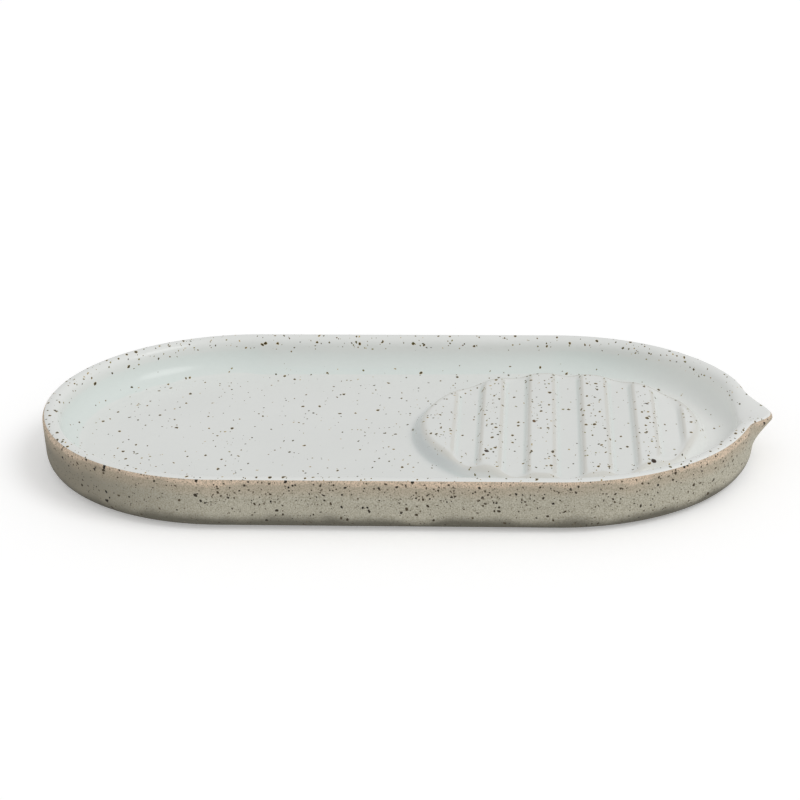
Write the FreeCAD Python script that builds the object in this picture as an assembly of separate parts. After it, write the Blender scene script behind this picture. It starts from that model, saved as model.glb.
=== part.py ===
# Speckled stoneware soap tray: a low oblong dish with a ribbed soap rest and a pouring lip.
# Millimetres. +X runs along the tray to the pouring lip, +Y to the back, +Z up.
# The origin lies under the middle of the whole outline, on the plane that the foot ring stands on.
import FreeCAD, Part
import math
import os

# Tray: an oblong outline with a half circle at each end
tray_length = 235.0         # over the rim, without the pouring lip
tray_width = 130.0
tray_height = 17.7
wall_lean = 3.0             # degrees, the outer wall leans out to the top
foot_edge_radius = 6.0      # rounding under the outer wall
foot_ring_width = 6.0
foot_recess = 1.0           # hollow under the tray, inside the foot ring

# Rim and inside, measured on the glazed surface
rim_width = 5.6
rim_outer_radius = 1.8
rim_inner_radius = 3.4
inner_lean = 8.0            # degrees, the inner wall leans out to the top
floor_height = 6.4
floor_fillet = 8.0          # rounding between floor and inner wall

# White liner glaze
glaze_thickness = 0.4
glaze_edge_angle = 50.0     # degrees, where the coat ends on the outer rounding of the rim

# Pouring lip, drawn out of the rim at the +X end
lip_reach = 6.0             # beyond the half circle
lip_half_width = 17.0       # along the rim, from the tip to where the beak starts
lip_ease = 2.0              # power by which the beak eases out of the rim
lip_tip_rounding = 0.4      # share of the half width that the tip is rounded over
lip_drop = 3.0              # how far the rim is pulled down at the tip
lip_drop_half_width = 25.0  # along the rim, from the tip to where the rim is level
lip_root_height = 6.8       # the wall is undisturbed below this height
lip_flare = 0.85            # power by which the lip grows from its root to the rim

# Soap rest, in the half circle at the +X end, measured on the glazed surface
rest_offset = 1.2           # from the centre of the half circle towards the lip
rest_floor_gap = 1.6        # bare floor from the foot of the rest to the rounding of the wall, at the lip
rest_side_run = 3.4         # how far the foot stands out past the top edge
rest_height = 4.6           # rib tops above the floor
rest_shoulder_radius = 2.5
rest_foot_fillet = 2.0      # of the glaze that fills the corner at the foot
rest_clay_fillet = 0.3      # of the clay under it

# Ribs and grooves across the rest, each width taken at half height, from the middle groove outwards
middle_groove = 8.1
inner_rib = 9.6
outer_groove = 7.8
outer_rib = 7.8
rib_height = 1.7            # above the grooves
rib_flank = 1.1             # run of each sloping rib side
rib_edge_radius = 0.6
rib_shift = 3.1             # from the centre of the rest to the middle groove, towards the lip

# Working room of the helper solids beyond the finished surfaces
spare = 4.0
skirt_dip = 0.2             # the foot of the rest ends this far under the floor
lip_margin = 2.0            # undisturbed wall on each side of the lip's own stretch
lip_sections = 14           # wall sections on each side of the lip's tip
seam_tolerance = 0.002      # between the lip and the wall that it continues

end_radius = tray_width / 2
end_centre = (tray_length - tray_width) / 2
rest_centre = end_centre + rest_offset
clay_floor = floor_height - glaze_thickness
helper_height = tray_height + 4 * spare

# Roundings are limited by the walls that they lie on
rim_outer_rounding = min(rim_outer_radius, 0.33 * rim_width)
rim_inner_rounding = min(rim_inner_radius, 0.62 * rim_width)
foot_rounding = min(foot_edge_radius, 0.8 * (tray_height - rim_outer_rounding))
rounding_rise = 1.0 - math.sin(math.radians(inner_lean))
inner_rise = tray_height - floor_height - rim_inner_rounding * rounding_rise
floor_rounding = min(floor_fillet, 0.95 * inner_rise / rounding_rise)


def on_circle(centre, radius, degrees):
    angle = math.radians(degrees)
    return centre[0] + radius * math.cos(angle), centre[1] + radius * math.sin(angle)


def limited(share):
    return min(1.0, max(0.0, share))


def evenly(first, last):
    return [first + (last - first) * step / 8 for step in range(9)]


def line(start, end):
    return "line", list(zip(evenly(start[0], end[0]), evenly(start[1], end[1])))


def arc(centre, radius, start, end):
    return "arc", [on_circle(centre, radius, degrees) for degrees in evenly(start, end)]


def join(edges):
    """Closes the gaps between the curves of a section with straight lines, and closes the section."""
    closed = []
    for edge, following in zip(edges, edges[1:] + edges[:1]):
        closed.append(edge)
        closed.append(line(edge[1][-1], following[1][0]))
    return closed


# Centres of the roundings in the wall section, as distance from the end axis and height
rim_outer_centre = (end_radius - rim_outer_rounding, tray_height - rim_outer_rounding)
rim_inner_centre = (end_radius - rim_width + rim_inner_rounding, tray_height - rim_inner_rounding)


def outer_wall_at(height):
    """Distance of the leaning outer wall from the end axis."""
    start = on_circle(rim_outer_centre, rim_outer_rounding, -wall_lean)
    return start[0] - (start[1] - height) * math.tan(math.radians(wall_lean))


def inner_wall_at(height):
    """Distance of the leaning inner wall from the end axis."""
    start = on_circle(rim_inner_centre, rim_inner_rounding, 180.0 - inner_lean)
    return start[0] - (start[1] - height) * math.tan(math.radians(inner_lean))


def rounding_centre(radius, bottom, lean, wall_at):
    """Centre of a rounding that touches a leaning wall and the level plane at the given height."""
    touch = on_circle((0.0, bottom + radius), radius, -lean)
    return wall_at(touch[1]) - touch[0], bottom + radius


foot_edge_centre = rounding_centre(foot_rounding, 0.0, wall_lean, outer_wall_at)
fillet_centre = rounding_centre(floor_rounding, floor_height, inner_lean, inner_wall_at)
rest_foot_radius = fillet_centre[0] - rest_offset - rest_floor_gap
rest_top_radius = rest_foot_radius - rest_side_run


def clay_section(inside):
    """Section of the raw clay, from the given distance off the end axis outwards."""
    return join([
        line((inside, clay_floor), (inside, 0.0)),
        arc(foot_edge_centre, foot_rounding, -90.0, -wall_lean),
        arc(rim_outer_centre, rim_outer_rounding, -wall_lean, glaze_edge_angle),
        arc(rim_outer_centre, rim_outer_rounding - glaze_thickness, glaze_edge_angle, 90.0),
        arc(rim_inner_centre, rim_inner_rounding - glaze_thickness, 90.0, 180.0 - inner_lean),
        arc(fillet_centre, floor_rounding + glaze_thickness, -inner_lean, -90.0),
    ])


def glaze_section(inside):
    """Section of the glaze coat that lies on the clay, without the soap rest."""
    return join([
        line((inside, floor_height), (inside, clay_floor)),
        arc(fillet_centre, floor_rounding + glaze_thickness, -90.0, -inner_lean),
        arc(rim_inner_centre, rim_inner_rounding - glaze_thickness, 180.0 - inner_lean, 90.0),
        arc(rim_outer_centre, rim_outer_rounding - glaze_thickness, 90.0, glaze_edge_angle),
        arc(rim_outer_centre, rim_outer_rounding, glaze_edge_angle, 90.0),
        arc(rim_inner_centre, rim_inner_rounding, 90.0, 180.0 - inner_lean),
        arc(fillet_centre, floor_rounding, -inner_lean, -90.0),
    ])


def lip_pull(along):
    """How far the rim goes out and down at a distance along it from the tip."""
    blunt = lip_tip_rounding
    fall = (math.hypot(along / lip_half_width, blunt) - blunt) / (math.hypot(1.0, blunt) - blunt)
    sink = math.cos(math.pi * min(1.0, abs(along) / lip_drop_half_width))
    return lip_reach * max(0.0, 1.0 - fall) ** lip_ease, lip_drop * (1.0 + sink) / 2


def draw_out(point, pull):
    """Moves a point of the wall section down, and outwards from the inner edge of the rim on."""
    distance, height = point
    inner_edge = inner_wall_at(tray_height)
    lift = limited((height - lip_root_height) / (rim_outer_centre[1] - lip_root_height)) ** lip_flare
    sunk = limited((distance - fillet_centre[0]) / (inner_edge - fillet_centre[0]))
    stretched = limited((distance - inner_edge) / (rim_outer_centre[0] - inner_edge))
    return distance + lift * stretched * pull[0], height - lift * sunk * pull[1]


def section_wire(section, angle, pull):
    """Stands a wall section on the radial plane at an angle round the +X end, drawn out by the lip."""
    edges = []
    for _, points in section:
        placed = []
        for point in points:
            distance, height = draw_out(point, pull)
            x = end_centre + distance * math.cos(angle)
            y = distance * math.sin(angle)
            placed.append(FreeCAD.Vector(x, y, height))
        curve = Part.BSplineCurve()
        curve.interpolate(Points=placed, Parameters=evenly(0.0, 1.0))
        edges.append(curve.toShape())
    return Part.Wire(edges)


def flat_face(section, place):
    """The flat face inside a section, with each of its points put where place says."""
    edges = []
    for kind, points in section:
        placed = [place(point) for point in points]
        first, middle, last = placed[0], placed[len(placed) // 2], placed[-1]
        if kind == "arc":
            edges.append(Part.Arc(first, middle, last).toShape())
        else:
            edges.append(Part.LineSegment(first, last).toShape())
    return Part.Face(Part.Wire(edges))


def oblong_solid(section):
    """Carries a wall section round the oblong outline: two half turns and two straight runs."""
    up = FreeCAD.Vector(0, 0, 1)
    along = FreeCAD.Vector(2 * end_centre, 0, 0)

    def at_end(end, side):
        return flat_face(section, lambda point: FreeCAD.Vector(end, side * point[0], point[1]))

    pieces = [
        at_end(-end_centre, 1).revolve(FreeCAD.Vector(-end_centre, 0, 0), up, 180),
        at_end(end_centre, -1).revolve(FreeCAD.Vector(end_centre, 0, 0), up, 180),
        at_end(-end_centre, -1).extrude(along),
        at_end(-end_centre, 1).extrude(along),
    ]
    return pieces[0].fuse(pieces[1:]).removeSplitter()


def with_lip(section_from):
    """An oblong solid whose wall is drawn out into the pouring lip at the +X end."""
    plain = oblong_solid(section_from(0.0))
    wedge_half = max(lip_half_width, lip_drop_half_width) + lip_margin
    wedge_angle = wedge_half / end_radius
    inside = (fillet_centre[0] - lip_margin) * math.cos(wedge_angle)
    outside = end_radius + lip_reach + 3 * spare

    corners = []
    for reach, side in [(inside, -1), (outside, -1), (outside, 1), (inside, 1), (inside, -1)]:
        y = side * reach * math.tan(wedge_angle)
        corners.append(FreeCAD.Vector(end_centre + reach, y, -spare))
    wedge = Part.Face(Part.makePolygon(corners)).extrude(FreeCAD.Vector(0, 0, helper_height))

    sections = []
    for step in range(-lip_sections, lip_sections + 1):
        along = wedge_half * step / lip_sections
        angle = along / end_radius
        section = section_from(inside / math.cos(angle))
        sections.append(section_wire(section, angle, lip_pull(along)))
    lip = Part.makeLoft(sections, True, False)
    return plain.cut(wedge).fuse((lip,), seam_tolerance)


def rounded_path(points, radii):
    """Lines through the points, with each corner between them rounded as far as its two lines allow."""
    edges = []
    last = points[0]
    for before, corner, after, radius in zip(points, points[1:], points[2:], radii):
        into = FreeCAD.Vector(corner[0] - before[0], corner[1] - before[1], 0).normalize()
        out = FreeCAD.Vector(after[0] - corner[0], after[1] - corner[1], 0).normalize()
        turn = into.getAngle(out)
        shorter = min(math.dist(before, corner), math.dist(corner, after))
        radius = min(radius, 0.48 * shorter / math.tan(turn / 2))
        cut_back = radius * math.tan(turn / 2)
        start = (corner[0] - into.x * cut_back, corner[1] - into.y * cut_back)
        end = (corner[0] + out.x * cut_back, corner[1] + out.y * cut_back)
        inward = (out - into).normalize()
        sag = radius / math.cos(turn / 2) - radius
        middle = (corner[0] + inward.x * sag, corner[1] + inward.y * sag)
        edges.append(line(last, start))
        edges.append(("arc", [start, middle, end]))
        last = end
    edges.append(line(last, points[-1]))
    return edges


def rest_solid(depth, foot_fillet):
    """The ribbed pad with its surface the given depth under the glazed surface."""
    floor = floor_height - depth
    top = floor_height + rest_height - depth
    groove = top - rib_height
    below = floor - spare
    top_radius = rest_top_radius - depth
    foot_radius = rest_foot_radius - depth
    skirt = (foot_radius + 0.8 * rest_floor_gap, floor - skirt_dip)
    reach = 2 * foot_radius

    # The pad without ribs: level top, round shoulder, sloping side, and a foot that runs out under the floor
    outline = [(0.0, top), (top_radius, top), (foot_radius, floor), skirt]
    side = rounded_path(outline, [rest_shoulder_radius, foot_fillet])
    side += [
        line(skirt, (skirt[0], below)),
        line((skirt[0], below), (0.0, below)),
        line((0.0, below), (0.0, top)),
    ]
    button = flat_face(side, lambda point: FreeCAD.Vector(rest_centre + point[0], 0, point[1]))
    button = button.revolve(FreeCAD.Vector(rest_centre, 0, 0), FreeCAD.Vector(0, 0, 1), 360)

    # The ribs and grooves run straight from front to back; the outermost ribs end with the pad
    edges = [middle_groove / 2]
    for width in [inner_rib, outer_groove, outer_rib, outer_groove]:
        edges.append(edges[-1] + width)
    ribs = [(-reach, top)]
    level, other = top, groove
    for edge in [-edge for edge in reversed(edges)] + edges:
        ribs.append((edge - rib_flank / 2, level))
        ribs.append((edge + rib_flank / 2, other))
        level, other = other, level
    ribs.append((reach, top))
    wave = rounded_path(ribs, [rib_edge_radius] * (len(ribs) - 2))
    wave += [
        line((reach, top), (reach, below - spare)),
        line((reach, below - spare), (-reach, below - spare)),
        line((-reach, below - spare), (-reach, top)),
    ]
    middle = rest_centre + rib_shift
    prism = flat_face(wave, lambda point: FreeCAD.Vector(middle + point[0], -reach, point[1]))
    prism = prism.extrude(FreeCAD.Vector(0, 2 * reach, 0))
    return button.common(prism)


def foot_hollow():
    """The shallow hollow under the tray, inside the foot ring."""
    radius = foot_edge_centre[0] - foot_ring_width
    section = [
        line((0.0, -spare), (radius + spare, -spare)),
        line((radius + spare, -spare), (radius - foot_recess, foot_recess)),
        line((radius - foot_recess, foot_recess), (0.0, foot_recess)),
        line((0.0, foot_recess), (0.0, -spare)),
    ]
    return oblong_solid(section)


def build():
    tray = with_lip(clay_section).cut(foot_hollow())

    # The clay pad ends flat on the clay floor, and the glaze runs over both
    corner = FreeCAD.Vector(end_centre - tray_length / 2, -tray_width / 2, clay_floor - 3 * spare)
    under_floor = Part.makeBox(tray_length, tray_width, 3 * spare, corner)
    pad = rest_solid(glaze_thickness, rest_clay_fillet).cut(under_floor)
    glazed_pad = rest_solid(0.0, rest_foot_fillet).cut(under_floor)
    glaze = with_lip(glaze_section).fuse(glazed_pad).cut(pad)
    return {"stoneware_tray": tray, "soap_rest": pad, "liner_glaze": glaze}


os.makedirs("parts", exist_ok=True)
for name, shape in build().items():
    shape = shape.Solids[0] if len(shape.Solids) == 1 else shape
    shape.translate(FreeCAD.Vector(-lip_reach / 2, 0, 0))
    shape.exportStep("parts/" + name + ".step")
    print(name, "solids", len(shape.Solids), "volume", round(shape.Volume), shape.isValid(), shape.BoundBox)
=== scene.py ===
# Speckled stoneware soap tray with a white liner glaze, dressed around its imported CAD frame.
# The pieces are drawn in millimetres and scaled to metres by MM. +X runs to the pouring lip, +Z up.
import math

import bpy
from mathutils import Matrix, Vector


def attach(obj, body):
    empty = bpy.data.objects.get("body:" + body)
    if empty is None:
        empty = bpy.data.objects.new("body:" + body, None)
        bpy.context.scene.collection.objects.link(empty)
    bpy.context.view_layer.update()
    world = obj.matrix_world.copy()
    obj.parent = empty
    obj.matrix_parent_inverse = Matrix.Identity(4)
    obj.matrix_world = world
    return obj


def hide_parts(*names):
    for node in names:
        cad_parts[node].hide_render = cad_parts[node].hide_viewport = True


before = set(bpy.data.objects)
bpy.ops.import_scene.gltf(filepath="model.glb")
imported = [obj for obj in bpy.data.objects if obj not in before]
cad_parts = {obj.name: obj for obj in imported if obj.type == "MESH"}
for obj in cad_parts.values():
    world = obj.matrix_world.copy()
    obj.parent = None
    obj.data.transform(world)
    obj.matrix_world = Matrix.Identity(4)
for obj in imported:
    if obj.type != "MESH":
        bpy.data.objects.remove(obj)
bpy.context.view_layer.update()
MM = 0.001

# Tray
end_radius = 65.0
right_end = 49.5            # x of the axis of the half circle with the lip
left_end = -55.5
tray_height = 17.7
wall_lean = 3.0
foot_edge_radius = 6.0
foot_ring_width = 6.0
foot_recess = 1.0

# Rim, inside and glaze
rim_width = 5.6
rim_outer_radius = 1.8
rim_inner_radius = 3.4
inner_lean = 8.0
floor_height = 6.4
floor_fillet = 8.0
glaze_thickness = 0.4
glaze_edge_angle = 50.0

# Pouring lip
lip_reach = 6.0
lip_half_width = 17.0
lip_ease = 2.0
lip_tip_rounding = 0.4
lip_drop = 3.0
lip_drop_half_width = 25.0
lip_root_height = 6.8
lip_flare = 0.85

# Soap rest
rest_offset = 1.2
rest_floor_gap = 1.6
rest_side_run = 3.4
rest_height = 4.6
rest_shoulder_radius = 2.5
rest_foot_fillet = 2.0
rib_shift = 3.1
rib_edges = [4.05, 13.65, 21.45, 29.25, 37.05]
rib_height = 1.7
rib_flank = 1.1
glazed_rib_radius = 1.3     # the glaze rounds the edges of the ribs
soft_rib_flank = 5.6        # where the ribs run out at the edge of the rest
soft_rib_radius = 6.0
rib_fade_start = 40.5       # distances from the middle of the rest
rib_fade_end = 45.5
shoulder_start = 41.0
shoulder_full = 44.5
shoulder_full_end = 46.5
shoulder_end = 48.0

# Moulds that the soap rest is pressed over
mould_reach = 60.0          # from the middle to the edge
mould_depth = 4.0           # below the floor
rib_mould_depth = 12.0      # below the rib tops and grooves
mould_edge_drop = 0.2       # keeps the rim of the mould under the level floor
bed_steps_across = 256      # across the ribs, so finer than along them
bed_steps_along = 150
bed_trim = 0.4
pad_clearance = 0.02        # between the clay pad and the glaze

# How much of the iron in the clay comes through the glaze, from 0 to 1
floor_show = 0.3
rim_show = 0.95


def on_circle(centre, radius, degrees):
    angle = math.radians(degrees)
    return centre[0] + radius * math.cos(angle), centre[1] + radius * math.sin(angle)


def limited(share):
    return min(1.0, max(0.0, share))


def ease(value, start, end):
    """A smooth step from 0 at the start to 1 at the end."""
    share = limited((value - start) / (end - start))
    return share * share * (3.0 - 2.0 * share)


def rounding_centre(radius, bottom, lean, touch_wall):
    """Centre of a rounding between a level plane and a wall that leans out from a point of it."""
    touch = on_circle((0.0, bottom + radius), radius, -lean)
    wall = touch_wall[0] - (touch_wall[1] - touch[1]) * math.tan(math.radians(lean))
    return wall - touch[0], bottom + radius


# Roundings of the wall section, as distance from the end axis and height
rim_outer_centre = (end_radius - rim_outer_radius, tray_height - rim_outer_radius)
rim_inner_centre = (end_radius - rim_width + rim_inner_radius, tray_height - rim_inner_radius)
outer_wall_top = on_circle(rim_outer_centre, rim_outer_radius, -wall_lean)
inner_wall_top = on_circle(rim_inner_centre, rim_inner_radius, 180.0 - inner_lean)
foot_edge_centre = rounding_centre(foot_edge_radius, 0.0, wall_lean, outer_wall_top)
fillet_centre = rounding_centre(floor_fillet, floor_height, inner_lean, inner_wall_top)
inner_edge = inner_wall_top[0] + (tray_height - inner_wall_top[1]) * math.tan(math.radians(inner_lean))

rest_centre = right_end + rest_offset
rest_foot_radius = fillet_centre[0] - rest_offset - rest_floor_gap
rest_top_radius = rest_foot_radius - rest_side_run
# The round of floor that is pressed over the rest
rest_bed_radius = rest_foot_radius + 0.8 * rest_floor_gap
rib_middle = rest_centre + rib_shift


# Modelling by hand

def deselect_everything():
    if bpy.context.mode != "OBJECT":
        bpy.ops.object.mode_set(mode="OBJECT")
    bpy.ops.object.select_all(action="DESELECT")


def pick(piece):
    deselect_everything()
    piece.select_set(True)
    bpy.context.view_layer.objects.active = piece


def select_where(piece, test, mode="VERT"):
    """Selects the vertices or faces of a piece in edit mode that a test on their place accepts."""
    bpy.ops.mesh.select_mode(type=mode)
    bpy.ops.mesh.select_all(action="DESELECT")
    bpy.ops.object.mode_set(mode="OBJECT")
    if mode == "VERT":
        for vertex in piece.data.vertices:
            vertex.select = test(vertex.co / MM)
    else:
        for face in piece.data.polygons:
            face.select = test(face.center / MM)
    bpy.ops.object.mode_set(mode="EDIT")


class Outline:
    """A section drawn point by point, as distance and height, in the plane that runs forward from an axis."""

    def __init__(self, name, axis_x, start):
        deselect_everything()
        bpy.ops.mesh.primitive_plane_add(size=MM)
        self.piece = bpy.context.object
        self.piece.name = name
        self.piece.data.name = name
        self.axis_x = axis_x
        self.at = start
        bpy.ops.object.mode_set(mode="EDIT")
        bpy.ops.mesh.merge(type="CENTER")
        bpy.ops.transform.translate(value=self.place(start))

    def place(self, point):
        return Vector((self.axis_x * MM, -point[0] * MM, point[1] * MM))

    def run_to(self, point, steps=1):
        step = (self.place(point) - self.place(self.at)) / steps
        for _ in range(steps):
            bpy.ops.mesh.extrude_region_move(TRANSFORM_OT_translate={"value": step})
        self.at = point

    def turn_about(self, centre, radius, start, end, steps):
        first = on_circle(centre, radius, start)
        if math.dist(first, self.at) > 1e-6:
            self.run_to(first)
        bpy.ops.mesh.spin(
            steps=steps, angle=math.radians(end - start), center=self.place(centre), axis=(1, 0, 0))
        self.at = on_circle(centre, radius, end)


def run_straight(length, steps=35):
    for _ in range(steps):
        bpy.ops.mesh.extrude_region_move(TRANSFORM_OT_translate={"value": (length * MM / steps, 0, 0)})


def carry_round():
    """Carries an outline drawn at the front of the right end round the whole oblong, finer by the lip."""
    lip_sector = 25.0
    bpy.ops.mesh.select_all(action="SELECT")
    for degrees, steps in [(90.0 - lip_sector, 40), (2 * lip_sector, 96), (90.0 - lip_sector, 40)]:
        bpy.ops.mesh.spin(
            steps=steps, angle=math.radians(degrees), center=(right_end * MM, 0, 0), axis=(0, 0, -1))
    run_straight(left_end - right_end)
    bpy.ops.mesh.spin(steps=112, angle=math.pi, center=(left_end * MM, 0, 0), axis=(0, 0, -1))
    run_straight(right_end - left_end)
    bpy.ops.mesh.select_all(action="SELECT")
    bpy.ops.mesh.remove_doubles(threshold=0.002 * MM)
    bpy.ops.object.mode_set(mode="OBJECT")


def lip_pull(along):
    """How far the rim goes out and down at a distance along it from the tip of the lip."""
    blunt = lip_tip_rounding
    fall = (math.hypot(along / lip_half_width, blunt) - blunt) / (math.hypot(1.0, blunt) - blunt)
    sink = math.cos(math.pi * min(1.0, abs(along) / lip_drop_half_width))
    return lip_reach * max(0.0, 1.0 - fall) ** lip_ease, lip_drop * (1.0 + sink) / 2


def draw_out_lip(piece):
    """Pulls the wall down into the pouring lip, and outwards from the inner edge of the rim on."""
    for vertex in piece.data.vertices:
        x, y, height = vertex.co / MM
        distance = math.hypot(x - right_end, y)
        angle = math.atan2(y, x - right_end)
        if x < right_end or abs(angle) * end_radius > lip_drop_half_width:
            continue
        out, down = lip_pull(angle * end_radius)
        lift = limited((height - lip_root_height) / (rim_outer_centre[1] - lip_root_height)) ** lip_flare
        sunk = limited((distance - fillet_centre[0]) / (inner_edge - fillet_centre[0]))
        stretched = limited((distance - inner_edge) / (rim_outer_centre[0] - inner_edge))
        distance += lift * stretched * out
        vertex.co = (
            (right_end + distance * math.cos(angle)) * MM,
            distance * math.sin(angle) * MM,
            (height - lift * sunk * down) * MM)


def finish_mesh(piece, sharp_degrees=35.0):
    """Faces outwards, smooth shading with crisp edges only where the form is crisp."""
    pick(piece)
    bpy.ops.object.mode_set(mode="EDIT")
    bpy.ops.mesh.select_all(action="SELECT")
    bpy.ops.mesh.normals_make_consistent(inside=False)
    bpy.ops.object.mode_set(mode="OBJECT")
    bpy.ops.object.shade_smooth_by_angle(angle=math.radians(sharp_degrees))


def apply_modifier(piece, kind, **settings):
    pick(piece)
    modifier = piece.modifiers.new(kind.title(), kind)
    for name, value in settings.items():
        setattr(modifier, name, value)
    bpy.ops.object.modifier_apply(modifier=modifier.name)


# Raw clay tray

def clay_tray():
    hollow = foot_edge_centre[0] - foot_ring_width
    coat = glaze_thickness
    section = Outline("clay_tray", right_end, (hollow - foot_recess, foot_recess))
    section.run_to((hollow, 0.0), 2)
    section.turn_about(foot_edge_centre, foot_edge_radius, -90.0, -wall_lean, 12)
    section.run_to(outer_wall_top, 6)
    section.turn_about(rim_outer_centre, rim_outer_radius, -wall_lean, glaze_edge_angle, 8)
    section.turn_about(rim_outer_centre, rim_outer_radius - coat, glaze_edge_angle, 90.0, 5)
    section.turn_about(rim_inner_centre, rim_inner_radius - coat, 90.0, 180.0 - inner_lean, 8)
    section.run_to(on_circle(fillet_centre, floor_fillet + coat, -inner_lean), 4)
    section.turn_about(fillet_centre, floor_fillet + coat, -inner_lean, -90.0, 8)
    tray = section.piece
    carry_round()
    draw_out_lip(tray)
    pick(tray)
    bpy.ops.object.mode_set(mode="EDIT")
    close_level(tray, foot_recess, hollow)
    close_level(tray, floor_height - coat, fillet_centre[0] + 0.1)
    finish_mesh(tray)
    return tray


def close_level(piece, level, edge):
    """Fills the level opening at a height with one flat face."""
    select_where(piece, lambda place: abs(place.z - level) < 0.01 and within_oblong(place, edge))
    bpy.ops.mesh.edge_face_add()


def within_oblong(place, radius):
    x = min(max(place.x, left_end), right_end)
    return math.hypot(place.x - x, place.y) < radius


# Soap rest under the glaze

def rest_mould(flank, edge_radius):
    """A plaster mould of the soap rest: a round button cut by straight ribs, on the level floor."""
    top = floor_height + rest_height
    groove = top - rib_height
    below = floor_height - mould_depth
    reach = mould_reach

    deselect_everything()
    bpy.ops.mesh.primitive_plane_add(size=MM)
    ribs = bpy.context.object
    ribs.name = "rib_mould"
    bpy.ops.object.mode_set(mode="EDIT")
    bpy.ops.mesh.merge(type="CENTER")
    corners = [(-reach, top)]
    level, other = top, groove
    for edge in [-edge for edge in reversed(rib_edges)] + rib_edges:
        corners += [(edge - flank / 2, level), (edge + flank / 2, other)]
        level, other = other, level
    corners.append((reach, top))
    places = [Vector(((rib_middle + x) * MM, -reach * MM, z * MM)) for x, z in corners]
    bpy.ops.transform.translate(value=places[0])
    for here, there in zip(places, places[1:]):
        bpy.ops.mesh.extrude_region_move(TRANSFORM_OT_translate={"value": there - here})
    slope = math.atan2(rib_height, flank)
    select_where(ribs, lambda place: abs(place.x - rib_middle) < reach - 1.0)
    bpy.ops.mesh.bevel(
        offset=edge_radius * math.tan(slope / 2) * MM, segments=6, affect="VERTICES")
    bpy.ops.mesh.select_all(action="SELECT")
    bpy.ops.mesh.extrude_region_move(TRANSFORM_OT_translate={"value": (0, 2 * reach * MM, 0)})
    bpy.ops.mesh.select_all(action="SELECT")
    bpy.ops.mesh.extrude_region_move(TRANSFORM_OT_translate={"value": (0, 0, -rib_mould_depth * MM)})
    finish_mesh(ribs)

    side = math.atan2(rest_height, rest_foot_radius - rest_top_radius)
    section = Outline("rest_mould", rest_centre, (0.0, top))
    section.run_to((rest_top_radius, top))
    section.run_to((rest_foot_radius, floor_height))
    section.run_to((rest_bed_radius, floor_height - mould_edge_drop))
    section.run_to((rest_bed_radius, below))
    section.run_to((0.0, below))
    button = section.piece
    roundings = [
        (rest_top_radius, top, rest_shoulder_radius),
        (rest_foot_radius, floor_height, rest_foot_fillet)]
    for radius, height, rounding in roundings:
        select_where(button, lambda place: math.dist((-place.y, place.z), (radius, height)) < 0.1)
        bpy.ops.mesh.bevel(offset=rounding * math.tan(side / 2) * MM, segments=8, affect="VERTICES")
    bpy.ops.mesh.select_all(action="SELECT")
    bpy.ops.mesh.spin(
        steps=180, angle=2 * math.pi, center=(rest_centre * MM, 0, 0), axis=(0, 0, -1))
    bpy.ops.mesh.select_all(action="SELECT")
    bpy.ops.mesh.remove_doubles(threshold=0.002 * MM)
    finish_mesh(button)
    apply_modifier(button, "BOOLEAN", operation="INTERSECT", object=ribs, solver="EXACT")

    deselect_everything()
    bpy.ops.mesh.primitive_plane_add(size=4 * reach * MM, location=(rest_centre * MM, 0, floor_height * MM))
    bpy.ops.object.transform_apply(location=True)
    level_floor = bpy.context.object
    level_floor.select_set(True)
    button.select_set(True)
    bpy.context.view_layer.objects.active = button
    bpy.ops.object.join()
    bpy.data.objects.remove(ribs)
    return button


def glazed_rest():
    """The bed of glaze over the soap rest, pressed down over the mould and softened."""
    crisp_mould = rest_mould(rib_flank, glazed_rib_radius)
    soft_mould = rest_mould(soft_rib_flank, soft_rib_radius)
    deselect_everything()
    size = 2 * rest_bed_radius * MM
    bpy.ops.mesh.primitive_grid_add(
        x_subdivisions=bed_steps_across, y_subdivisions=bed_steps_along, size=size,
        location=(rest_centre * MM, 0, 2 * tray_height * MM))
    bpy.ops.object.transform_apply(location=True)
    bed = bpy.context.object
    bed.name = "glazed_rest"
    bpy.ops.object.mode_set(mode="EDIT")
    kept = rest_bed_radius - bed_trim
    select_where(bed, lambda place: math.hypot(place.x - rest_centre, place.y) > kept, "FACE")
    bpy.ops.mesh.delete(type="FACE")
    bpy.ops.object.mode_set(mode="OBJECT")
    crisp = bed.vertex_groups.new(name="crisp ribs")
    shoulder = bed.vertex_groups.new(name="soft shoulder")
    for vertex in bed.data.vertices:
        place = vertex.co / MM
        distance = math.hypot(place.x - rest_centre, place.y)
        softness = ease(distance, shoulder_start, shoulder_full)
        softness *= ease(distance, shoulder_end, shoulder_full_end)
        crisp.add([vertex.index], ease(distance, rib_fade_end, rib_fade_start), "REPLACE")
        shoulder.add([vertex.index], softness, "REPLACE")
    apply_modifier(
        bed, "SHRINKWRAP", target=soft_mould, wrap_method="PROJECT", use_project_z=True,
        use_negative_direction=True, use_positive_direction=False)
    apply_modifier(
        bed, "SHRINKWRAP", target=crisp_mould, wrap_method="PROJECT", use_project_z=True,
        use_negative_direction=True, use_positive_direction=True, vertex_group="crisp ribs")
    apply_modifier(
        bed, "SMOOTH", factor=0.5, iterations=12, use_x=False, use_y=False, vertex_group="soft shoulder")
    bed.vertex_groups.clear()
    bpy.data.objects.remove(crisp_mould)
    bpy.data.objects.remove(soft_mould)
    return bed


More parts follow.
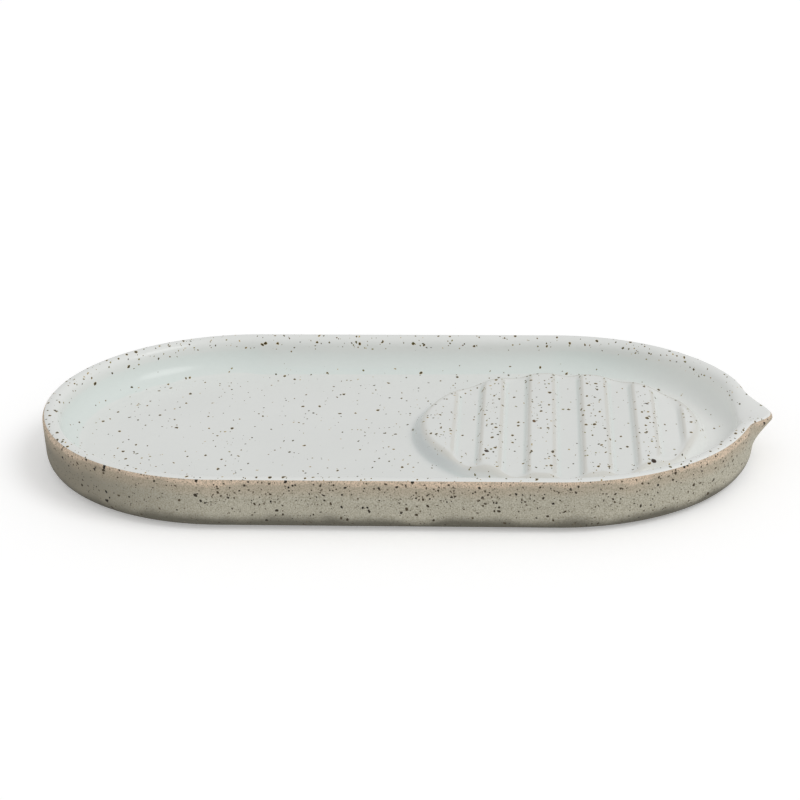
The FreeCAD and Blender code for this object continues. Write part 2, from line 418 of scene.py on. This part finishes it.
def clay_rest(bed):
    """The clay pad under the bed of glaze, with a flat underside on the clay floor."""
    deselect_everything()
    pad = bed.copy()
    pad.data = bed.data.copy()
    pad.name = "clay_rest"
    pad.data.name = "clay_rest"
    bpy.context.collection.objects.link(pad)
    clay_floor = floor_height - glaze_thickness
    pick(pad)
    bpy.ops.object.mode_set(mode="EDIT")
    bpy.ops.mesh.select_all(action="SELECT")
    bpy.ops.transform.translate(value=(0, 0, -(glaze_thickness + pad_clearance) * MM))
    select_where(pad, lambda place: place.z < clay_floor + pad_clearance)
    bpy.ops.mesh.delete(type="VERT")
    bpy.ops.mesh.select_all(action="SELECT")
    bpy.ops.mesh.region_to_loop()
    bpy.ops.mesh.extrude_region_move(TRANSFORM_OT_translate={"value": (0, 0, -MM)})
    bpy.ops.transform.resize(
        value=(1, 1, 0), center_override=(0, 0, clay_floor * MM), constraint_axis=(False, False, True))
    bpy.ops.mesh.edge_face_add()
    finish_mesh(pad)
    return pad


# White liner glaze

def glaze_coat(bed):
    section = Outline(
        "glaze_coat", right_end, on_circle(rim_outer_centre, rim_outer_radius, glaze_edge_angle))
    section.turn_about(rim_outer_centre, rim_outer_radius, glaze_edge_angle, 90.0, 6)
    section.turn_about(rim_inner_centre, rim_inner_radius, 90.0, 180.0 - inner_lean, 12)
    section.run_to(on_circle(fillet_centre, floor_fillet, -inner_lean), 5)
    section.turn_about(fillet_centre, floor_fillet, -inner_lean, -90.0, 12)
    coat = section.piece
    carry_round()
    draw_out_lip(coat)
    pick(coat)
    bed.select_set(True)
    bpy.ops.object.join()
    bpy.ops.object.mode_set(mode="EDIT")
    bpy.ops.mesh.select_mode(type="EDGE")
    bpy.ops.mesh.select_all(action="DESELECT")
    bpy.ops.mesh.select_non_manifold(extend=False)
    bpy.ops.object.mode_set(mode="OBJECT")
    just_above_floor = (floor_height + 1.0) * MM
    for edge in coat.data.edges:
        if any(coat.data.vertices[corner].co.z > just_above_floor for corner in edge.vertices):
            edge.select = False
    bpy.ops.object.mode_set(mode="EDIT")
    bpy.ops.mesh.fill(use_beauty=True)
    bpy.ops.mesh.select_all(action="SELECT")
    bpy.ops.mesh.normals_make_consistent(inside=False)
    bpy.ops.object.mode_set(mode="OBJECT")
    apply_modifier(coat, "SOLIDIFY", thickness=glaze_thickness * MM, offset=-1.0)
    finish_mesh(coat, 50.0)
    mark_glaze_flow(coat)
    return coat


def mark_glaze_flow(coat):
    """Notes where the glaze ran thin or pooled, and how much of the clay it lets through."""
    soft = coat.copy()
    soft.data = coat.data.copy()
    bpy.context.collection.objects.link(soft)
    apply_modifier(soft, "SMOOTH", factor=0.5, iterations=24)
    flow = coat.data.attributes.new("glaze_flow", "FLOAT", "POINT")
    bare = coat.data.attributes.new("glaze_thinness", "FLOAT", "POINT")
    for vertex, softened in zip(coat.data.vertices, soft.data.vertices):
        above_floor = ease(vertex.co.z / MM, floor_height + 0.05, floor_height + 0.6)
        flow.data[vertex.index].value = above_floor * (vertex.co - softened.co).dot(vertex.normal) / MM
        bare.data[vertex.index].value = glaze_thinness(vertex.co / MM, vertex.normal)
    bpy.data.objects.remove(soft)


def glaze_thinness(place, normal):
    """From 0 on the wall to 1 on the rib tops, where most specks come through."""
    top = floor_height + rest_height
    rim = rim_show * ease(place.z, tray_height - 5.0, tray_height - 2.0)
    if math.hypot(place.x - rest_centre, place.y) < rest_bed_radius:
        return floor_show + (1.0 - floor_show) * ease(place.z, top - 1.2, top - 0.4)
    return max(rim, floor_show * ease(normal.z, 0.6, 0.95))


tray = clay_tray()
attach(tray, "root")
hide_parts("stoneware_tray")

bed = glazed_rest()
pad = clay_rest(bed)
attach(pad, "root")
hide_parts("soap_rest")

coat = glaze_coat(bed)
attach(coat, "root")
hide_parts("liner_glaze")


# Materials

def shade(red, green, blue):
    """A colour as a picture shows it, from 0 to 255, in the light values that shaders take."""
    return [((level / 255 + 0.055) / 1.055) ** 2.4 for level in (red, green, blue)] + [1.0]


# Colours of the white glaze
grey_milk = shade(236, 238, 235)
white_milk = shade(243, 245, 242)
cool_pool = shade(231, 241, 237)
# Painted light, whitening the glaze towards the lip and along the rim
painted_light_white = shade(250, 251, 248)
# Where the glaze breaks thin over edges, deepened by painted shade on the rest's edges
broken_and_shaded_edge = shade(222, 219, 210)
# Painted shade for the bottom of the rest's left side
rest_shade_grey = shade(226, 231, 231)
rust = shade(200, 174, 112)

# Colours of the raw clay
dull_clay = shade(182, 178, 162)
pale_clay = shade(197, 193, 177)
left_shade_clay = shade(110, 104, 92)
# Painted shade for the left end, which faces away from the light
warm_clay = shade(186, 169, 147)
flashed_clay = shade(228, 205, 181)
coarse_clay = shade(139, 132, 112)
# Painted shade for the bottom of the outside wall, where it turns under away from the light
foot_shade_clay = shade(83, 80, 68)

# Scatters of iron specks: darkest and palest tone, cells to a metre, size of the largest in its cell, seed
large_tones = (shade(26, 19, 1), shade(80, 64, 12))
small_tones = (shade(68, 59, 8), shade(150, 141, 88))
drop_tones = (shade(50, 30, 5), shade(110, 76, 24))
large_clay_tones = (shade(24, 18, 9), shade(80, 68, 48))
small_clay_tones = (shade(40, 32, 20), shade(108, 98, 80))
grit_tones = (shade(64, 56, 43), shade(132, 123, 105))
rust_fringes = {"tones": (rust, rust), "cells": 540.0, "size": 0.36, "seed": 0.0}
large_iron = {"tones": large_tones, "cells": 540.0, "size": 0.30, "seed": 0.0}
small_iron = {"tones": small_tones, "cells": 640.0, "size": 0.27, "seed": 3.7}
brown_drops = {"tones": drop_tones, "cells": 190.0, "size": 0.20, "seed": 8.2}
large_clay_iron = {"tones": large_clay_tones, "cells": 600.0, "size": 0.37, "seed": 1.3}
small_clay_iron = {"tones": small_clay_tones, "cells": 950.0, "size": 0.36, "seed": 5.1}
clay_grit = {"tones": grit_tones, "cells": 1500.0, "size": 0.36, "seed": 6.4}
speck_raggedness = 0.0011
speck_stretch = 0.65        # under 1, so the grains are longer from front to back

# Scales of the uneven patterns
milk_scale = 35.0
ripple_scale = 90.0
mottle_scale = 60.0
grain_scale = 2200.0
ragged_scale = 700.0

# Where the finishes and the painted light and shade change, in millimetres
# Painted light whitens the glaze towards the lip, between these places
lip_light_start = 62.0    # along the tray, towards the lip
lip_light_full = 98.0
# Painted shade darkens the clay towards the left end, between these places
left_shade_start = -50.0         # along the tray, towards the left end
left_shade_full = -115.0
# Painted shade greys the glaze on the rest's left side, between these places
rest_shade_start = rest_centre - 22.0
rest_shade_full = rest_centre - 40.0
# These bulges also carry painted shade, greying the rest's edges where they turn away from the light
thin_start = 0.02           # bulge of the surface, where the glaze ran thin over edges
thin_full = 0.16
pool_start = -0.02          # hollow of the surface, where the glaze pooled
pool_full = -0.25
band_unevenness = 6.0
# Painted shade darkens the outside of the wall towards its bottom, between the first two of these heights
foot_shade_full = 2.2             # heights on the outside of the wall
foot_shade_start = 6.6
warm_start = 10.5
warm_full = 15.0
flash_start = 15.2
flash_full = 17.0
lip_band_start = right_end + end_radius - 3.0
lip_band_full = right_end + end_radius + 4.0


def put(tree, kind, inputs=None, **settings):
    """Adds a node, with its settings, and its inputs linked or set."""
    node = tree.nodes.new(kind)
    for name, value in settings.items():
        setattr(node, name, value)
    for name, value in (inputs or {}).items():
        if isinstance(value, bpy.types.NodeSocket):
            tree.links.new(value, node.inputs[name])
        else:
            node.inputs[name].default_value = value
    return node


def sums(tree, operation, *values):
    return put(tree, "ShaderNodeMath", dict(enumerate(values)), operation=operation).outputs[0]


def vector_sums(tree, operation, *values):
    """The same as sums, for places and directions."""
    return put(tree, "ShaderNodeVectorMath", dict(enumerate(values)), operation=operation).outputs[0]


def between(tree, value, start, end):
    """A smooth rise from 0 to 1 as the value goes from start to end."""
    inputs = {"Value": value, "From Min": start, "From Max": end}
    return put(tree, "ShaderNodeMapRange", inputs, interpolation_type="SMOOTHSTEP").outputs["Result"]


def across(tree, length, start, end):
    """The same smooth rise for a length, between two places in millimetres."""
    return between(tree, length, start * MM, end * MM)


def tinted(tree, mask, under, over, strength=1.0):
    """Lays one colour over another through a mask."""
    if strength != 1.0:
        mask = sums(tree, "MULTIPLY", mask, strength)
    inputs = {0: mask, 6: under, 7: over}
    return put(tree, "ShaderNodeMix", inputs, data_type="RGBA").outputs[2]


def noise(tree, place, scale, detail=2.0):
    return put(tree, "ShaderNodeTexNoise", {"Vector": place, "Scale": scale, "Detail": detail}).outputs["Fac"]


def marked(tree, name):
    """A value that was marked on the mesh, point by point."""
    return put(tree, "ShaderNodeAttribute", attribute_name=name).outputs["Fac"]


def iron_specks():
    """Grains of iron cut through by the surface, some large, most small, each with its own tone.

    The press has drawn them out from front to back.
    """
    group = bpy.data.node_groups.new("iron specks", "ShaderNodeTree")
    for name in ("Cells", "Size", "Share", "Seed"):
        group.interface.new_socket(name, in_out="INPUT", socket_type="NodeSocketFloat")
    for name in ("Mask", "Tone"):
        group.interface.new_socket(name, in_out="OUTPUT", socket_type="NodeSocketFloat")
    given = put(group, "NodeGroupInput").outputs
    place = put(group, "ShaderNodeTexCoord").outputs["Object"]
    wander = put(group, "ShaderNodeTexNoise", {"Vector": place, "Scale": ragged_scale, "Detail": 1.0})
    ragged = vector_sums(group, "SUBTRACT", wander.outputs["Color"], (0.5, 0.5, 0.5))
    ragged = vector_sums(group, "MULTIPLY", ragged, [speck_raggedness] * 3)
    place = vector_sums(group, "ADD", place, ragged)
    drawn = vector_sums(group, "MULTIPLY", place, (1.0, speck_stretch, 1.0))
    place = vector_sums(group, "ADD", drawn, given["Seed"])
    grains = put(group, "ShaderNodeTexVoronoi", {"Vector": place, "Scale": given["Cells"]})
    chance = put(group, "ShaderNodeSeparateColor", {"Color": grains.outputs["Color"]}).outputs
    present = sums(group, "LESS_THAN", chance["Red"], given["Share"])
    spread = sums(group, "POWER", chance["Green"], 2.0)
    radius = sums(group, "MULTIPLY", given["Size"], sums(group, "MULTIPLY_ADD", spread, 0.7, 0.3))
    core = sums(group, "MULTIPLY", radius, 0.8)
    mask = between(group, grains.outputs["Distance"], radius, core)
    mask = sums(group, "MULTIPLY", mask, present)
    put(group, "NodeGroupOutput", {"Mask": mask, "Tone": chance["Blue"]})
    return group


specks = iron_specks()


def speckled(tree, under, share, tones, cells, size, seed):
    """Lays one scatter of specks over a colour, and gives the new colour and the specks' mask."""
    inputs = {"Cells": cells, "Size": size, "Share": share, "Seed": seed}
    grains = put(tree, "ShaderNodeGroup", inputs, node_tree=specks)
    tone = tinted(tree, grains.outputs["Tone"], *tones)
    return tinted(tree, grains.outputs["Mask"], under, tone), grains.outputs["Mask"]


def new_material(name):
    material = bpy.data.materials.new(name)
    material.use_nodes = True
    return material, material.node_tree, material.node_tree.nodes["Principled BSDF"]


def roughen(tree, shader, height, strength, distance):
    """Gives the surface a shallow relief."""
    bump = put(tree, "ShaderNodeBump", {"Height": height, "Strength": strength, "Distance": distance})
    tree.links.new(bump.outputs["Normal"], shader.inputs["Normal"])


def glaze_finish():
    """Milky satin glaze, cooler where it pools, with iron coming through. Painted light whitens it towards
    the lip and along the rim; painted shade greys the rest's edges, where the glaze also breaks thin, and the
    bottom of its left side.
    """
    material, tree, shader = new_material("speckled white glaze")
    place = put(tree, "ShaderNodeTexCoord").outputs["Object"]
    axes = put(tree, "ShaderNodeSeparateXYZ", {"Vector": place}).outputs
    flow = marked(tree, "glaze_flow")
    bare = marked(tree, "glaze_thinness")
    milk = noise(tree, place, milk_scale, 3.0)

    pooled = between(tree, flow, pool_start, pool_full)
    rim = across(tree, axes["Z"], tray_height - 2.0, tray_height - 0.6)
    lip_side = across(tree, axes["X"], lip_light_start, lip_light_full)
    # Painted light: whiter towards the lip and along the rim
    lit_lip_and_rim = sums(tree, "MAXIMUM", sums(tree, "MULTIPLY", lip_side, 0.65), sums(tree, "MULTIPLY", rim, 0.3))
    middle = [value * MM for value in (rest_centre, 0.0, floor_height)]
    reach = put(tree, "ShaderNodeVectorMath", {0: place, 1: middle}, operation="DISTANCE").outputs["Value"]
    on_rest = across(tree, reach, rest_foot_radius, rest_top_radius)
    # The rest's edges, where the glaze breaks thin and painted shade greys them
    thin = sums(tree, "MULTIPLY", between(tree, flow, thin_start, thin_full), on_rest)
    # Painted shade on the lower side of the rest, towards its left
    outer = across(tree, reach, rest_foot_radius + 3.0, rest_foot_radius - 2.6)
    inner = across(tree, reach, rest_top_radius + 0.3, rest_top_radius + 1.8)
    left = across(tree, axes["X"], rest_shade_start, rest_shade_full)
    rest_shade = sums(tree, "MULTIPLY", left, sums(tree, "MULTIPLY", outer, inner))

    colour = tinted(tree, milk, grey_milk, white_milk)
    colour = tinted(tree, pooled, colour, cool_pool, 0.7)
    colour = tinted(tree, lit_lip_and_rim, colour, painted_light_white)
    colour = tinted(tree, thin, colour, broken_and_shaded_edge, 0.6)
    colour = tinted(tree, rest_shade, colour, rest_shade_grey)

    large_share = sums(tree, "MULTIPLY", bare, 0.85)
    small_share = sums(tree, "MULTIPLY_ADD", bare, 1.2, sums(tree, "MULTIPLY_ADD", thin, 0.5, 0.01))
    drop_share = sums(tree, "MULTIPLY_ADD", bare, 0.38, sums(tree, "MULTIPLY_ADD", rim, -0.2, -0.11))
    colour, _ = speckled(tree, colour, large_share, **rust_fringes)
    colour, large = speckled(tree, colour, large_share, **large_iron)
    colour, small = speckled(tree, colour, small_share, **small_iron)
    colour, drops = speckled(tree, colour, drop_share, **brown_drops)
    tree.links.new(colour, shader.inputs["Base Color"])

    shader.inputs["Specular IOR Level"].default_value = 0.3
    iron = sums(tree, "MAXIMUM", sums(tree, "MAXIMUM", large, small), drops)
    satin = sums(tree, "MULTIPLY_ADD", milk, 0.1, 0.14)
    tree.links.new(sums(tree, "MULTIPLY_ADD", iron, 0.15, satin), shader.inputs["Roughness"])
    ripple = sums(tree, "MULTIPLY_ADD", iron, -0.03, noise(tree, place, ripple_scale))
    roughen(tree, shader, ripple, 0.25, 0.0006)
    return material


def clay_finish():
    """Raw clay with specks and grit, warm below the glaze, with painted shade darkening it towards the bottom
    of the wall and towards the left end.
    """
    material, tree, shader = new_material("raw speckled clay")
    place = put(tree, "ShaderNodeTexCoord").outputs["Object"]
    axes = put(tree, "ShaderNodeSeparateXYZ", {"Vector": place}).outputs
    mottle = noise(tree, place, mottle_scale, 4.0)
    grain = noise(tree, place, grain_scale, 3.0)

    # The bands follow the height, made uneven by the mottle, and the rim's drop at the lip
    uneven = sums(tree, "SUBTRACT", mottle, 0.5)
    level = sums(tree, "MULTIPLY_ADD", uneven, band_unevenness * MM, axes["Z"])
    lip = across(tree, axes["X"], lip_band_start, lip_band_full)
    level = sums(tree, "MULTIPLY_ADD", lip, lip_drop * MM, level)
    # Painted shade, darker towards the left end
    painted_left_shade = across(tree, axes["X"], left_shade_start, left_shade_full)
    warm = across(tree, level, warm_start, warm_full)
    flash = across(tree, level, flash_start, flash_full)
    coarse = between(tree, grain, 0.35, 0.7)
    # Painted shade, darker towards the bottom of the wall
    foot_shade = across(tree, level, foot_shade_start, foot_shade_full)

    colour = tinted(tree, mottle, dull_clay, pale_clay)
    colour = tinted(tree, painted_left_shade, colour, left_shade_clay, 0.9)
    colour = tinted(tree, warm, colour, warm_clay, 0.6)
    colour = tinted(tree, flash, colour, flashed_clay)
    colour = tinted(tree, coarse, colour, coarse_clay, 0.7)
    colour = tinted(tree, foot_shade, colour, foot_shade_clay, 0.9)

    large_share = sums(tree, "MULTIPLY_ADD", warm, 0.3, 0.34)
    colour, large = speckled(tree, colour, large_share, **large_clay_iron)
    colour, _ = speckled(tree, colour, 0.62, **small_clay_iron)
    colour, _ = speckled(tree, colour, 0.5, **clay_grit)
    tree.links.new(colour, shader.inputs["Base Color"])

    tree.links.new(sums(tree, "MULTIPLY_ADD", mottle, 0.15, 0.75), shader.inputs["Roughness"])
    pits = sums(tree, "MULTIPLY_ADD", large, -0.5, grain)
    roughen(tree, shader, pits, 0.35, 0.00025)
    return material


clay = clay_finish()
tray.data.materials.append(clay)
coat.data.materials.append(glaze_finish())
pad.data.materials.append(clay)


# Floor, light and camera

floor_size = 8.0
floor_white = (0.95, 0.95, 0.95, 1.0)
pure_white = (1.0, 1.0, 1.0, 1.0)
floor_glow = 0.28           # keeps the floor white in the soft light
sky_strength = 0.585
key_direction = (0.60, -0.18, 0.78)
key_width = 30.0
key_strength = 0.76

scene = bpy.context.scene
deselect_everything()
bpy.ops.mesh.primitive_plane_add(size=floor_size)
table = bpy.context.object
table.name = "pale_floor"
floor_paint, _, floor_shader = new_material("pale floor")
floor_shader.inputs["Base Color"].default_value = floor_white
floor_shader.inputs["Roughness"].default_value = 0.9
floor_shader.inputs["Emission Color"].default_value = pure_white
floor_shader.inputs["Emission Strength"].default_value = floor_glow
table.data.materials.append(floor_paint)

world = bpy.data.worlds.new("soft studio")
scene.world = world
world.use_nodes = True
sky = world.node_tree.nodes["Background"]
sky.inputs["Color"].default_value = pure_white
sky.inputs["Strength"].default_value = sky_strength
scene.view_settings.view_transform = "Standard"


def softbox(name, towards, width, strength):
    """A distant softbox in a direction from the tray, with its width in degrees."""
    lamp = bpy.data.lights.new(name, "SUN")
    lamp.energy = strength
    lamp.angle = math.radians(width)
    light = bpy.data.objects.new(name, lamp)
    scene.collection.objects.link(light)
    light.rotation_euler = Vector(towards).to_track_quat("Z", "Y").to_euler()


softbox("key softbox", key_direction, key_width, key_strength)

camera_lens = 101.05
camera_place = (0.0434, -0.6884, 0.2946)
camera_heading = 0.0658
camera_tilt = 0.3812
camera_roll = -0.0191
camera = bpy.data.objects.new("camera", bpy.data.cameras.new("camera"))
scene.collection.objects.link(camera)
camera.data.lens = camera_lens
camera.data.sensor_width = 36.0
camera.matrix_world = (
    Matrix.Translation(camera_place)
    @ Matrix.Rotation(camera_heading, 4, "Z")
    @ Matrix.Rotation(math.pi / 2 - camera_tilt, 4, "X")
    @ Matrix.Rotation(camera_roll, 4, "Z"))
scene.camera = camera
